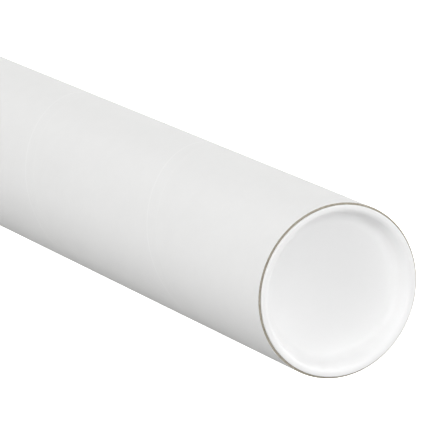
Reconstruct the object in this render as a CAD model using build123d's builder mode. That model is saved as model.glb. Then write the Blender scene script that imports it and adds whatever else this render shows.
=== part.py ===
"""Cardboard mailing tube: a spiral-wound tube, closed at each end by a moulded plug cap.

The tube stands on its lower cap. The origin is the centre of that cap's lip, on the ground,
and +Z runs up the tube's axis. All sizes are in millimetres.
"""

import os
from math import radians, tan

from build123d import *

# The tube: glued paper plies, wound on a mandrel and cut off square.
bore_diameter = 76.2
tube_wall = 1.78
tube_length = 609.6
cut_edge_round = 0.15  # the knife leaves the outer corner of a cut end slightly rounded

# The plug caps: one moulded piece each, a shallow cup whose lip reaches over the cut end.
cap_clearance = 0.06  # radial gap between the cap's wall and the bore, next to the lip
lip_overlap = 0.75  # how far the lip reaches out over the cut end of the tube
lip_thickness = 1.4
lip_edge_round = 0.4  # above and below, so that the rim of the lip is a bead
cap_wall = 2.24  # at the mouth of the cup
mouth_round = 2.2
grip_length = 1.5  # straight part of the outer wall, which fills the bore just inside the cut end
outer_draft = 14.0  # degrees, so that the cap finds its way into the bore
inner_draft = 16.0  # degrees, so that the cap leaves its mould
leading_round = 3.0
recess_depth = 9.0  # from the top of the lip down to the rim of the floor
recess_floor_round = 4.5
floor_thickness = 1.4
floor_dish = 1.8  # how much deeper the middle of the floor lies than its rim

# Radii that follow from those sizes.
bore_radius = bore_diameter / 2
tube_radius = bore_radius + tube_wall
lip_radius = bore_radius + lip_overlap
cap_radius = bore_radius - cap_clearance
plug_length = recess_depth - lip_thickness + floor_thickness
leading_radius = cap_radius - (plug_length - grip_length) * tan(radians(outer_draft))
mouth_radius = cap_radius - cap_wall
floor_radius = mouth_radius - recess_depth * tan(radians(inner_draft))

# Heights that follow from those sizes.
lower_cut_end = lip_thickness
middle_height = lower_cut_end + tube_length / 2
upper_cut_end = lower_cut_end + tube_length
lip_top = upper_cut_end + lip_thickness
cap_floor = lip_top - recess_depth
grip_end = upper_cut_end - grip_length
leading_end = upper_cut_end - plug_length

os.makedirs("parts", exist_ok=True)


def circles_at(part, radius, height):
    """The circular edges of a turned part that have this radius at this height."""
    return [
        edge
        for edge in part.edges().filter_by(GeomType.CIRCLE)
        if abs(edge.radius - radius) < 1e-4 and abs(edge.arc_center.Z - height) < 1e-4
    ]


# Tube: one wall of glued plies, open at both ends.
with BuildPart() as tube:
    with BuildSketch(Plane.XY.offset(lower_cut_end)):
        Circle(tube_radius)
        Circle(bore_radius, mode=Mode.SUBTRACT)
    extrude(amount=tube_length)
    for height in (lower_cut_end, upper_cut_end):
        fillet(circles_at(tube, tube_radius, height), cut_edge_round)
tube.part.label = "tube"
export_step(tube.part, "parts/tube.step")


# Upper cap: its lip sits on the tube's upper cut end, and its cup hangs in the bore.
with BuildPart() as upper_cap:
    with BuildSketch(Plane.XZ):
        with BuildLine():
            underside = TangentArc(
                (0, leading_end - floor_dish), (leading_radius, leading_end), tangent=(1, 0)
            )
            wall_and_lip = Polyline(
                underside @ 1,
                (cap_radius, grip_end),
                (cap_radius, upper_cut_end),
                (lip_radius, upper_cut_end),
                (lip_radius, lip_top),
                (mouth_radius, lip_top),
                (floor_radius, cap_floor),
            )
            inner_floor = TangentArc(
                (0, cap_floor - floor_dish), wall_and_lip @ 1, tangent=(1, 0)
            )
            Line(inner_floor @ 0, underside @ 0)
        make_face()
    revolve(axis=Axis.Z)
    fillet(circles_at(upper_cap, leading_radius, leading_end), leading_round)
    for height in (upper_cut_end, lip_top):
        fillet(circles_at(upper_cap, lip_radius, height), lip_edge_round)
    fillet(circles_at(upper_cap, mouth_radius, lip_top), mouth_round)
    fillet(circles_at(upper_cap, floor_radius, cap_floor), recess_floor_round)
upper_cap.part.label = "upper_cap"
export_step(upper_cap.part, "parts/upper_cap.step")


# Lower cap: the same moulding, turned over, in the tube's lower end.
with BuildPart() as lower_cap:
    add(upper_cap.part)
    mirror(about=Plane.XY.offset(middle_height), mode=Mode.REPLACE)
lower_cap.part.label = "lower_cap"
export_step(lower_cap.part, "parts/lower_cap.step")
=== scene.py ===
# A cardboard mailing tube: spiral-wound white tube, closed by a push-in plastic cap at each end.
# It stands on its lower cap, with +Z up its axis. All lengths are in metres.
from math import ceil, cos, pi, radians, sin

import bmesh
import bpy
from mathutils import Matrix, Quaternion, Vector


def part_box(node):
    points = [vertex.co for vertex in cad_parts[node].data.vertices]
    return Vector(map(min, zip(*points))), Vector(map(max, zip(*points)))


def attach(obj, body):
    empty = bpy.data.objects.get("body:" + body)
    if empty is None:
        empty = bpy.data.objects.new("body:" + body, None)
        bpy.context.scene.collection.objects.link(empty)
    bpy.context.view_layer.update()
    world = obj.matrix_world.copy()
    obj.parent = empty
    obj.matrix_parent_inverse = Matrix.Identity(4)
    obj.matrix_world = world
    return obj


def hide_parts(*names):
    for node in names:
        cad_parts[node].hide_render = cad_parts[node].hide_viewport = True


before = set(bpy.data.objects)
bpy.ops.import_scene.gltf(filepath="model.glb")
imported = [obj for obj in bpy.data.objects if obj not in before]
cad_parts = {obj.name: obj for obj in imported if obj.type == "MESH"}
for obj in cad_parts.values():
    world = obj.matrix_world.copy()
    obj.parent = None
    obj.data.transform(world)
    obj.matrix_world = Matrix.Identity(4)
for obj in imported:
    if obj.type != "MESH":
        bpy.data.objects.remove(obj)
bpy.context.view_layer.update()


# ---------------------------------------------------------------------------------------------
# The tube. Strips of grey-brown board are wound round a mandrel at a slant and glued, one ply
# over the other, and white paper is wound over them as the last ply. It sinks a little into the
# gap between the turns of the board under it. A knife cuts both ends off square.
# ---------------------------------------------------------------------------------------------

def linear(hex_colour):
    """A colour in linear light, from an sRGB hex value such as "#EAE8E4"."""
    parts = [int(hex_colour[i : i + 2], 16) / 255 for i in (1, 3, 5)]
    return (*[p / 12.92 if p <= 0.04045 else ((p + 0.055) / 1.055) ** 2.4 for p in parts], 1.0)


def add(tree, kind, inputs=None, **settings):
    """Adds a node, with its settings and its inputs, each a plain value or another node's output."""
    made = tree.nodes.new(kind)
    for name, value in settings.items():
        setattr(made, name, value)
    for socket, value in (inputs or {}).items():
        if isinstance(value, bpy.types.NodeSocket):
            tree.links.new(value, made.inputs[socket])
        else:
            made.inputs[socket].default_value = value
    return made


def sums(tree, operation, a, b=0.0, c=0.0):
    """One sum of numbers, such as MULTIPLY_ADD, in either kind of tree."""
    return add(tree, "ShaderNodeMath", {0: a, 1: b, 2: c}, operation=operation).outputs[0]


def new_material(name):
    """A material with an empty Principled shader, and the shader's node."""
    material = bpy.data.materials.new(name)
    material.use_nodes = True
    return material, material.node_tree, material.node_tree.nodes["Principled BSDF"]


MM = 0.001

tube_low, tube_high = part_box("tube")
tube_radius = tube_high[0]
lower_cut, upper_cut = tube_low[2], tube_high[2]
tube_wall = 1.78 * MM

# The winding. The strips climb 132.8 mm in a turn, which sets them at 62 degrees to the axis.
winding_pitch = 3.33 * tube_radius
band_drop = 73.8 * MM  # from the upper cut end to the top of the sunken band, on the +X side
band_height = 9.0 * MM  # up the tube, how far apart the turns of board under the paper lie
band_edge = 0.5 * MM  # how wide the slope on each side of the band is
band_sink = 0.05 * MM
paper_ply = 0.15 * MM
board_plies = 5


def wound_skin(tree, radius, sink, band, edge, low, high, pitch, start, turns, open_rows, segments):
    """Nodes for one skin of the tube: a strip that climbs as it goes round, cut off at both ends.

    The top of the strip, as far down as band, lies deeper by sink, with a slope of width edge on
    each side of it. The place along and across the strip, in metres, is kept in the UV map
    "strip".
    """
    slope_rows = band_rows = 4
    rows = open_rows + 2 * slope_rows + band_rows
    along_count = sums(tree, "MULTIPLY_ADD", turns, segments, 1.0)
    grid = add(tree, "GeometryNodeMeshGrid", {"Vertices X": along_count, "Vertices Y": rows + 1})
    place = add(tree, "ShaderNodeSeparateXYZ", {0: add(tree, "GeometryNodeInputPosition").outputs[0]})
    along = sums(tree, "ADD", place.outputs["X"], 0.5)
    across = sums(tree, "ADD", place.outputs["Y"], 0.5)
    turn_angle = sums(tree, "MULTIPLY", sums(tree, "MULTIPLY", along, turns), 2 * pi)

    # The rows are close together on the two slopes, and far apart on the open paper.
    band_start = sums(tree, "SUBTRACT", pitch, band)
    open_paper = sums(tree, "SUBTRACT", band_start, sums(tree, "MULTIPLY", edge, 2.0))
    stretches = ((edge, slope_rows), (open_paper, open_rows), (edge, slope_rows), (band, band_rows))
    climb, row = 0.0, 0
    for stretch, stretch_rows in stretches:
        last_row = row + stretch_rows
        climbed = add(tree, "ShaderNodeMapRange", {
            "Value": across, "From Min": row / rows, "From Max": last_row / rows, "To Max": stretch})
        climb = sums(tree, "ADD", climb, climbed.outputs[0])
        row = last_row

    # The slope down into the band is below it, and the slope up again is on the next turn.
    down = add(tree, "ShaderNodeMapRange", {
        "Value": climb, "From Min": sums(tree, "SUBTRACT", band_start, edge), "From Max": band_start,
    }, interpolation_type="SMOOTHSTEP").outputs[0]
    up = add(tree, "ShaderNodeMapRange", {
        "Value": climb, "From Min": 0.0, "From Max": edge, "To Min": 1.0, "To Max": 0.0,
    }, interpolation_type="SMOOTHSTEP").outputs[0]
    depth = sums(tree, "MULTIPLY", sums(tree, "MAXIMUM", down, up), sink)
    reach = sums(tree, "SUBTRACT", radius, depth)

    slope = sums(tree, "MULTIPLY", sums(tree, "MULTIPLY", along, turns), pitch)
    height = sums(tree, "ADD", sums(tree, "ADD", slope, climb), start)
    level = add(tree, "ShaderNodeClamp", {"Value": height, "Min": low, "Max": high}).outputs[0]
    # Past the knife's cut the strip is pressed flat, so that the cut edge is a true circle.
    knife_slack = 0.02 * MM
    inside = sums(tree, "COMPARE", height, level, knife_slack)
    reach = add(tree, "ShaderNodeMapRange", {
        "Value": inside, "To Min": radius, "To Max": reach}).outputs[0]

    strip_length = sums(tree, "MULTIPLY", turn_angle, radius)
    strip = add(tree, "ShaderNodeCombineXYZ", {"X": strip_length, "Y": climb}).outputs[0]
    marked = add(tree, "GeometryNodeStoreNamedAttribute", {
        "Geometry": grid.outputs["Mesh"], "Name": "strip", "Value": strip,
    }, data_type="FLOAT2", domain="CORNER")
    point = add(tree, "ShaderNodeCombineXYZ", {
        "X": sums(tree, "MULTIPLY", sums(tree, "COSINE", turn_angle), reach),
        "Y": sums(tree, "MULTIPLY", sums(tree, "SINE", turn_angle), reach),
        "Z": level,
    }).outputs[0]
    wound = add(tree, "GeometryNodeSetPosition", {"Geometry": marked.outputs[0], "Position": point})
    return wound.outputs[0]


def cut_end(tree, radius, wall, corner, plies, relief, level, outwards, rows, segments):
    """Nodes for one cut end: a ring whose plies stand up a little, with a rounded outer corner."""
    round_count = sums(tree, "ADD", segments, 1.0)
    grid = add(tree, "GeometryNodeMeshGrid", {"Vertices X": round_count, "Vertices Y": rows})
    place = add(tree, "ShaderNodeSeparateXYZ", {0: add(tree, "GeometryNodeInputPosition").outputs[0]})
    turn_angle = sums(tree, "MULTIPLY", sums(tree, "ADD", place.outputs["X"], 0.5), 2 * pi)
    across = sums(tree, "ADD", place.outputs["Y"], 0.5)
    # The rings of the mesh are closest together at the outer corner, which is the smallest shape.
    crowding = 1.4
    depth = sums(tree, "MULTIPLY", sums(tree, "POWER", across, crowding), wall)
    reach = sums(tree, "SUBTRACT", radius, depth)

    # The outer corner is a quarter circle: its drop is corner - sqrt(corner^2 - rest^2).
    rest = sums(tree, "MAXIMUM", sums(tree, "SUBTRACT", corner, depth), 0.0)
    square = sums(tree, "SUBTRACT", sums(tree, "MULTIPLY", corner, corner),
                  sums(tree, "MULTIPLY", rest, rest))
    drop = sums(tree, "SUBTRACT", corner, sums(tree, "SQRT", sums(tree, "MAXIMUM", square, 0.0)))

    # Each ply is cut a little proud between its glue lines, and the knife raises some fibre. Its
    # share of the unevenness is a quarter, and the fibre's is three quarters.
    wave = sums(tree, "COSINE", sums(tree, "MULTIPLY", sums(tree, "DIVIDE", depth, wall),
                                     sums(tree, "MULTIPLY", plies, 2 * pi)))
    fluff = add(tree, "ShaderNodeTexNoise", {
        "Vector": add(tree, "ShaderNodeCombineXYZ", {
            "X": sums(tree, "MULTIPLY", sums(tree, "COSINE", turn_angle), reach),
            "Y": sums(tree, "MULTIPLY", sums(tree, "SINE", turn_angle), reach),
            "Z": level}).outputs[0],
        "Scale": 1 / (1.2 * MM), "Detail": 3.0, "Roughness": 0.6}).outputs[0]
    window = sums(tree, "SINE", sums(tree, "MULTIPLY", across, pi))
    hollow = sums(tree, "MULTIPLY", sums(tree, "ADD", sums(tree, "MULTIPLY", wave, -0.25),
                                         sums(tree, "MULTIPLY", fluff, 0.75)),
                  sums(tree, "MULTIPLY", window, relief))
    inset = sums(tree, "ADD", drop, sums(tree, "MAXIMUM", hollow, 0.0))
    point = add(tree, "ShaderNodeCombineXYZ", {
        "X": sums(tree, "MULTIPLY", sums(tree, "COSINE", turn_angle), reach),
        "Y": sums(tree, "MULTIPLY", sums(tree, "SINE", turn_angle), reach),
        "Z": sums(tree, "MULTIPLY_ADD", inset, -outwards, level),
    }).outputs[0]
    marked = add(tree, "GeometryNodeStoreNamedAttribute", {
        "Geometry": grid.outputs["Mesh"], "Name": "strip",
        "Value": add(tree, "ShaderNodeCombineXYZ", {
            "X": sums(tree, "MULTIPLY", turn_angle, radius), "Y": depth}).outputs[0],
    }, data_type="FLOAT2", domain="CORNER")
    ring = add(tree, "GeometryNodeSetPosition", {"Geometry": marked.outputs[0], "Position": point})
    return ring.outputs[0]


def named_tree(name, sizes):
    """A Geometry Nodes tree with one named number input for each size, and its output."""
    tree = bpy.data.node_groups.new(name, "GeometryNodeTree")
    for size in sizes:
        tree.interface.new_socket(size, in_out="INPUT", socket_type="NodeSocketFloat")
    tree.interface.new_socket("Geometry", in_out="OUTPUT", socket_type="NodeSocketGeometry")
    return tree, add(tree, "NodeGroupInput").outputs, add(tree, "NodeGroupOutput")


def grown(name, tree, sizes):
    """The mesh that a tree grows from these sizes, as a plain object with outward faces."""
    seed_object = bpy.data.objects.new(name + "_seed", bpy.data.meshes.new(name + "_seed"))
    bpy.context.scene.collection.objects.link(seed_object)
    modifier = seed_object.modifiers.new(name, "NODES")
    modifier.node_group = tree
    for item in tree.interface.items_tree:
        if item.in_out == "INPUT":
            modifier[item.identifier] = sizes[item.name]
    evaluated = seed_object.evaluated_get(bpy.context.evaluated_depsgraph_get())
    mesh = bpy.data.meshes.new_from_object(evaluated)
    bpy.data.objects.remove(seed_object)
    mesh.name = name
    mesh.materials.pop(index=0)  # the empty slot of the seed
    solid = bmesh.new()
    solid.from_mesh(mesh)
    bmesh.ops.dissolve_degenerate(solid, dist=1e-7, edges=solid.edges)
    bmesh.ops.recalc_face_normals(solid, faces=solid.faces)
    solid.to_mesh(mesh)
    solid.free()
    grown_object = bpy.data.objects.new(name, mesh)
    bpy.context.scene.collection.objects.link(grown_object)
    return grown_object


def white_liner_paper():
    """Bleached liner paper, machine-made: matt, near white, with long fibres along the strip."""
    material, tree, shader = new_material("white liner paper")
    strip = add(tree, "ShaderNodeUVMap", uv_map="strip").outputs["UV"]
    place = add(tree, "ShaderNodeTexCoord").outputs["Object"]
    # Formation: the pulp settles in cloudy patches about 9 mm across.
    clouds = add(tree, "ShaderNodeTexNoise", {
        "Vector": place, "Scale": 1 / (9 * MM), "Detail": 4.0, "Roughness": 0.55}).outputs["Fac"]
    # Fibres lie along the strip. Real ones are 0.03 mm wide, drawn here 0.35 mm wide to show.
    stretched = add(tree, "ShaderNodeMapping", {"Vector": strip, "Scale": (0.16, 1.0, 1.0)}).outputs[0]
    fibres = add(tree, "ShaderNodeTexNoise", {
        "Vector": stretched, "Scale": 1 / (0.7 * MM), "Detail": 5.0, "Roughness": 0.7}).outputs["Fac"]
    tone = sums(tree, "MULTIPLY_ADD", fibres, 0.6, sums(tree, "MULTIPLY", clouds, 0.4))
    colour = add(tree, "ShaderNodeValToRGB", {"Fac": tone})
    colour.color_ramp.elements[0].position = 0.25
    colour.color_ramp.elements[0].color = linear("#ECECEC")
    colour.color_ramp.elements[1].position = 0.75
    colour.color_ramp.elements[1].color = linear("#F0F0F0")
    # Painted highlight: the colour is made a little whiter on the two slopes of the sunken band,
    # where their edges catch the light.
    up_strip = add(tree, "ShaderNodeSeparateXYZ", {0: strip}).outputs["Y"]
    lower_slope = winding_pitch - band_height - band_edge / 2
    upper_slope = band_edge / 2
    painted_highlight = 0.0
    for slope_place, strength in ((lower_slope, 0.25), (upper_slope, 0.12)):
        off_slope = sums(tree, "ABSOLUTE", sums(tree, "SUBTRACT", up_strip, slope_place))
        line = add(tree, "ShaderNodeMapRange", {
            "Value": off_slope, "From Min": band_edge * 0.5, "From Max": band_edge, "To Min": strength,
            "To Max": 0.0}).outputs[0]
        painted_highlight = sums(tree, "ADD", painted_highlight, line)
    # The painted highlight mixes the paper's colour towards white.
    highlighted_colour = add(tree, "ShaderNodeMix", {
        "Factor": painted_highlight, "A": colour.outputs["Color"], "B": linear("#FFFFFF")}, data_type="RGBA")
    tree.links.new(highlighted_colour.outputs["Result"], shader.inputs["Base Color"])
    gloss = add(tree, "ShaderNodeMapRange", {"Value": clouds, "To Min": 0.74, "To Max": 0.88}).outputs[0]
    tree.links.new(gloss, shader.inputs["Roughness"])
    bump = add(tree, "ShaderNodeBump", {
        "Strength": 0.3, "Distance": 0.03 * MM, "Height": fibres}).outputs["Normal"]
    tree.links.new(bump, shader.inputs["Normal"])
    shader.inputs["Specular IOR Level"].default_value = 0.3
    return material


def grey_brown_board():
    """Recycled tube board: raw, matt and grey-brown, with paler flecks of the paper in it."""
    material, tree, shader = new_material("recycled tube board")
    place = add(tree, "ShaderNodeTexCoord").outputs["Object"]
    # The largest flecks are about 1.6 mm across.
    flecks = add(tree, "ShaderNodeTexNoise", {
        "Vector": place, "Scale": 1 / (1.6 * MM), "Detail": 6.0, "Roughness": 0.75}).outputs["Fac"]
    colour = add(tree, "ShaderNodeValToRGB", {"Fac": flecks})
    colour.color_ramp.elements[0].position = 0.3
    colour.color_ramp.elements[0].color = linear("#979082")
    colour.color_ramp.elements[1].position = 0.7
    colour.color_ramp.elements[1].color = linear("#BAB4A7")
    tree.links.new(colour.outputs["Color"], shader.inputs["Base Color"])
    bump = add(tree, "ShaderNodeBump", {
        "Strength": 0.5, "Distance": 0.08 * MM, "Height": flecks}).outputs["Normal"]
    tree.links.new(bump, shader.inputs["Normal"])
    shader.inputs["Roughness"].default_value = 0.92
    shader.inputs["Specular IOR Level"].default_value = 0.2
    return material


def wound_tube_tree(paper, board):
    """The whole tube as one closed shell: two wound skins and the two cut ends between them."""
    tree, size, result = named_tree("wound tube", (
        "Radius", "Wall", "Paper", "Band", "Band Edge", "Sink", "Corner", "Lower Cut", "Upper Cut",
        "Pitch", "Start", "Bore Start", "Turns", "Plies", "Relief", "Segments"))
    bore = sums(tree, "SUBTRACT", size["Radius"], size["Wall"])
    corner_low = sums(tree, "ADD", size["Lower Cut"], size["Corner"])
    corner_high = sums(tree, "SUBTRACT", size["Upper Cut"], size["Corner"])
    outer_rows, bore_rows, end_rings = 14, 6, 33
    outside = wound_skin(tree, size["Radius"], size["Sink"], size["Band"], size["Band Edge"],
                         corner_low, corner_high, size["Pitch"], size["Start"], size["Turns"],
                         outer_rows, size["Segments"])
    # The innermost ply meets itself edge to edge, so its seam is a shallow open joint.
    joint_depth = sums(tree, "MULTIPLY", size["Sink"], -1.0)
    inside = wound_skin(tree, bore, joint_depth, size["Band Edge"], size["Band Edge"],
                        size["Lower Cut"], size["Upper Cut"], size["Pitch"], size["Bore Start"],
                        size["Turns"], bore_rows, size["Segments"])
    ends = [cut_end(tree, size["Radius"], size["Wall"], size["Corner"], size["Plies"], size["Relief"],
                    size[level], outwards, end_rings, size["Segments"])
            for level, outwards in (("Lower Cut", -1.0), ("Upper Cut", 1.0))]
    joined = add(tree, "GeometryNodeJoinGeometry")
    for skin in (outside, inside, *ends):
        tree.links.new(skin, joined.inputs[0])
    # The skins and ends share their edge points, so this closes the shell.
    shell = add(tree, "GeometryNodeMergeByDistance", {
        "Geometry": joined.outputs[0], "Distance": 0.006 * MM})
    smooth = add(tree, "GeometryNodeSetShadeSmooth", {"Geometry": shell.outputs[0]}, domain="FACE")
    bend = add(tree, "GeometryNodeInputMeshEdgeAngle").outputs["Unsigned Angle"]
    creased = add(tree, "GeometryNodeSetShadeSmooth", {
        "Geometry": smooth.outputs[0], "Selection": sums(tree, "GREATER_THAN", bend, radians(50)),
        "Shade Smooth": False}, domain="EDGE")
    whole = add(tree, "GeometryNodeRealizeInstances", {"Geometry": creased.outputs[0]})
    covered = add(tree, "GeometryNodeSetMaterial", {"Geometry": whole.outputs[0], "Material": paper})
    # White paper is only the last ply: everything further in than that is board.
    place = add(tree, "ShaderNodeSeparateXYZ", {0: add(tree, "GeometryNodeInputPosition").outputs[0]})
    across_x = sums(tree, "MULTIPLY", place.outputs["X"], place.outputs["X"])
    across_y = sums(tree, "MULTIPLY", place.outputs["Y"], place.outputs["Y"])
    reach = sums(tree, "SQRT", sums(tree, "ADD", across_x, across_y))
    paper_inside = sums(tree, "SUBTRACT", size["Radius"], size["Paper"])
    raw = add(tree, "GeometryNodeSetMaterial", {
        "Geometry": covered.outputs[0], "Selection": sums(tree, "LESS_THAN", reach, paper_inside),
        "Material": board})
    tree.links.new(raw.outputs[0], result.inputs["Geometry"])
    return tree


turns_below = ceil((upper_cut - band_drop - lower_cut) / winding_pitch + 1)
winding_start = upper_cut - band_drop - turns_below * winding_pitch
wound_tube = grown("wound_tube", wound_tube_tree(white_liner_paper(), grey_brown_board()), {
    "Radius": tube_radius,
    "Wall": tube_wall,
    "Paper": paper_ply,
    "Band": band_height,
    "Band Edge": band_edge,
    "Sink": band_sink,
    "Corner": 0.15 * MM,
    "Lower Cut": lower_cut,
    "Upper Cut": upper_cut,
    "Pitch": winding_pitch,
    "Start": winding_start,
    "Bore Start": winding_start - 0.4 * winding_pitch,
    "Turns": float(ceil((upper_cut - winding_start) / winding_pitch) + 1),
    "Plies": float(board_plies),
    "Relief": 0.09 * MM,
    "Segments": 180.0,
})
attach(wound_tube, "tube")
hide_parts("tube")


# ---------------------------------------------------------------------------------------------
# The two caps. Each is one moulding of white low-density polyethylene: a dished cup that is
# pushed into the bore until its lip sits on the cut end. The solids have their true shape.
# ---------------------------------------------------------------------------------------------

def white_polyethylene():
    """Moulded low-density polyethylene: soft satin, milky, with the fine texture of its mould."""
    material, tree, shader = new_material("white moulded polyethylene")
    place = add(tree, "ShaderNodeTexCoord").outputs["Object"]
    # Pigment that is not quite evenly mixed, in faint clouds about 25 mm across.
    clouds = add(tree, "ShaderNodeTexNoise", {
        "Vector": place, "Scale": 1 / (25 * MM), "Detail": 2.0, "Roughness": 0.5}).outputs["Fac"]
    colour = add(tree, "ShaderNodeValToRGB", {"Fac": clouds})
    colour.color_ramp.elements[0].position = 0.3
    colour.color_ramp.elements[0].color = linear("#FAFAFA")
    colour.color_ramp.elements[1].position = 0.7
    colour.color_ramp.elements[1].color = linear("#FCFCFC")
    tree.links.new(colour.outputs["Color"], shader.inputs["Base Color"])
    # The mould is spark-eroded: real pits are 0.05 mm wide, drawn here 0.3 mm wide to show.
    pits = add(tree, "ShaderNodeTexNoise", {
        "Vector": place, "Scale": 1 / (0.3 * MM), "Detail": 3.0, "Roughness": 0.6}).outputs["Fac"]
    gloss = add(tree, "ShaderNodeMapRange", {"Value": pits, "To Min": 0.44, "To Max": 0.56}).outputs[0]
    tree.links.new(gloss, shader.inputs["Roughness"])
    bump = add(tree, "ShaderNodeBump", {
        "Strength": 0.12, "Distance": 0.02 * MM, "Height": pits}).outputs["Normal"]
    tree.links.new(bump, shader.inputs["Normal"])
    shader.inputs["IOR"].default_value = 1.51
    # Light goes a little way into the milky plastic, which softens its edges.
    shader.inputs["Subsurface Weight"].default_value = 0.35
    shader.inputs["Subsurface Radius"].default_value = (1.0, 1.0, 1.0)
    shader.inputs["Subsurface Scale"].default_value = 1.5 * MM
    return material


polyethylene = white_polyethylene()
for cap in ("upper_cap", "lower_cap"):
    for material_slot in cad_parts[cap].material_slots:
        material_slot.material = polyethylene


# ---------------------------------------------------------------------------------------------
# The studio: a wide white floor, and round soft lights hung about the tube.
# ---------------------------------------------------------------------------------------------

def studio_floor(half_width=40.0, height=-0.14, glow=0.123, seen_glow=1.0):
    """A plain matt white floor that glows faintly, as a light table does.

    It lies so far below the tube that the lower cap can be drawn out above it.
    """
    mesh = bpy.data.meshes.new("studio_floor")
    corners = [(x * half_width, y * half_width, height) for x, y in ((-1, -1), (1, -1), (1, 1), (-1, 1))]
    mesh.from_pydata(corners, [], [(0, 1, 2, 3)])
    material, tree, shader = new_material("matt white floor paint")
    shader.inputs["Base Color"].default_value = linear("#FAFAF8")
    shader.inputs["Roughness"].default_value = 0.95
    shader.inputs["Specular IOR Level"].default_value = 0.0
    shader.inputs["Emission Color"].default_value = linear("#FFFFFB")
    # It is seen as bright as white paper in full light, but lights the tube only by a faint glow.
    direct = add(tree, "ShaderNodeLightPath").outputs["Is Camera Ray"]
    strength = add(tree, "ShaderNodeMapRange", {"Value": direct, "To Min": glow, "To Max": seen_glow})
    tree.links.new(strength.outputs[0], shader.inputs["Emission Strength"])
    mesh.materials.append(material)
    laid = bpy.data.objects.new("studio_floor", mesh)
    bpy.context.scene.collection.objects.link(laid)


def soft_light(name, bearing, elevation, power, aim=Vector((0, 0, 0.5)), distance=2.2, width=1.1):
    """A round soft light. Its bearing is 0 in front, on the -Y side, and 90 on the +X side."""
    turn, rise = radians(bearing), radians(elevation)
    out = Vector((sin(turn) * cos(rise), -cos(turn) * cos(rise), sin(rise)))
    lamp = bpy.data.lights.new(name, "AREA")
    lamp.shape = "DISK"
    lamp.size = width
    lamp.energy = power
    hung = bpy.data.objects.new(name, lamp)
    bpy.context.scene.collection.objects.link(hung)
    hung.location = aim + out * distance
    hung.rotation_euler = (-out).to_track_quat("-Z", "Y").to_euler()
    hung.visible_camera = False


studio_floor()
# The lamps' powers, and the floor's glow, were solved for together by a separate program that
# matched the light on a real tube. They are rounded.
soft_light("front_low", 0, 12, 18.8)
soft_light("front_high", 0, 40, 11.4)
soft_light("overhead", 0, 90, 11.8)
soft_light("right_high", 60, 65, 6.8)
soft_light("back_right", 135, 40, 3.4)
soft_light("back_low", 180, 12, 7.7)
soft_light("back_high", 180, 65, 3.9)
soft_light("back_left_low", 225, 12, 15.6)
soft_light("back_left", 225, 40, 5.4)
soft_light("left_low", 270, 12, 12.8)


def white_surround(seen=1.0, lighting=0.0):
    """A surround that is seen as white past the floor's edge, and adds no light of its own."""
    world = bpy.data.worlds.new("white_surround")
    bpy.context.scene.world = world
    world.use_nodes = True
    tree = world.node_tree
    direct = add(tree, "ShaderNodeLightPath").outputs["Is Camera Ray"]
    strength = add(tree, "ShaderNodeMapRange", {"Value": direct, "To Min": lighting, "To Max": seen})
    tree.nodes["Background"].inputs["Color"].default_value = (1.0, 1.0, 1.0, 1.0)
    tree.links.new(strength.outputs[0], tree.nodes["Background"].inputs["Strength"])


white_surround()
bpy.context.scene.view_settings.view_transform = "Standard"


# ---------------------------------------------------------------------------------------------
# The camera looks down at the upper cap from far off, turned on its side, so that the tube
# runs out of view at the upper left. Its place, aim, roll and lens were fitted by a separate
# program, and rounded.
# ---------------------------------------------------------------------------------------------

camera_data = bpy.data.cameras.new("camera")
camera_data.lens = 332
camera_data.sensor_width = 36
camera_data.clip_end = 200  # past the far edge of the floor
camera = bpy.data.objects.new("camera", camera_data)
bpy.context.scene.collection.objects.link(camera)
camera_place = Vector((0, -24.295 * tube_radius, upper_cut + 38.704 * tube_radius))
camera_aim = Vector((-0.1665 * tube_radius, 0, upper_cut - 2.879 * tube_radius))
camera_roll = Quaternion((0, 0, 1), radians(113.78))
camera.location = camera_place
camera.rotation_euler = ((camera_aim - camera_place).to_track_quat("-Z", "Y") @ camera_roll).to_euler()
bpy.context.scene.camera = camera
